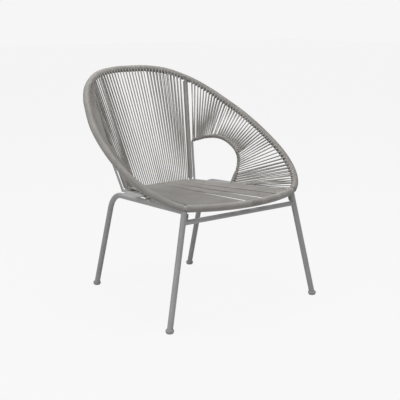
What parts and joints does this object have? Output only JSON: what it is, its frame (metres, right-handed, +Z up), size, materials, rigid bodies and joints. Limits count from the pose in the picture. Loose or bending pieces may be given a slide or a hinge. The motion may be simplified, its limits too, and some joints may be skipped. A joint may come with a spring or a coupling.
{
  "type": "acapulco chair",
  "caption": "Low porch chair with an egg-shaped tube hoop and front bow strung with plastic cord, round arm openings and a bent-tube leg frame.",
  "frame": {"origin": "on the floor, midway under the chair's bounding box", "axes": "+Z up, the sitter faces -Y, +X is on the sitter's left"},
  "size_m": [0.7062, 0.695, 0.7761],
  "materials": {
    "frame_steel": "satin grey powder coat",
    "cord": "smooth warm grey plastic cord, soft shine",
    "foot_plastic": "matt grey moulded cap",
    "bolt_steel": "dark plated screw"
  },
  "bodies": {
    "root": {"hoop_tube": "frame_steel", "front_bow_tube": "frame_steel", "rear_seat_rail": "frame_steel", "front_cross_rail": "frame_steel", "back_upright_right": "frame_steel", "back_upright_left": "frame_steel", "seat_side_rod_right": "frame_steel", "seat_side_rod_left": "frame_steel", "arm_loop_right": "frame_steel", "arm_loop_left": "frame_steel", "front_leg_right": "frame_steel", "front_leg_left": "frame_steel", "rear_leg_and_side_rail_right": "frame_steel", "rear_leg_and_side_rail_left": "frame_steel", "rear_mounting_plate_right": "frame_steel", "rear_mounting_plate_left": "frame_steel", "front_lug_right": "frame_steel", "front_lug_left": "frame_steel", "lug_bolt_right": "bolt_steel", "lug_bolt_left": "bolt_steel", "front_foot_cap_right": "foot_plastic", "front_foot_cap_left": "foot_plastic", "rear_foot_cap_right": "foot_plastic", "rear_foot_cap_left": "foot_plastic", "upright_wrap_right": "cord", "upright_wrap_left": "cord", "back_cord_right": "cord", "back_cord_left": "cord", "side_cord_rear_right": "cord", "side_cord_rear_left": "cord", "side_cord_middle_right": "cord", "side_cord_middle_left": "cord", "side_cord_front_right": "cord", "side_cord_front_left": "cord", "seat_cord": "cord"}
  },
  "joints": []
}
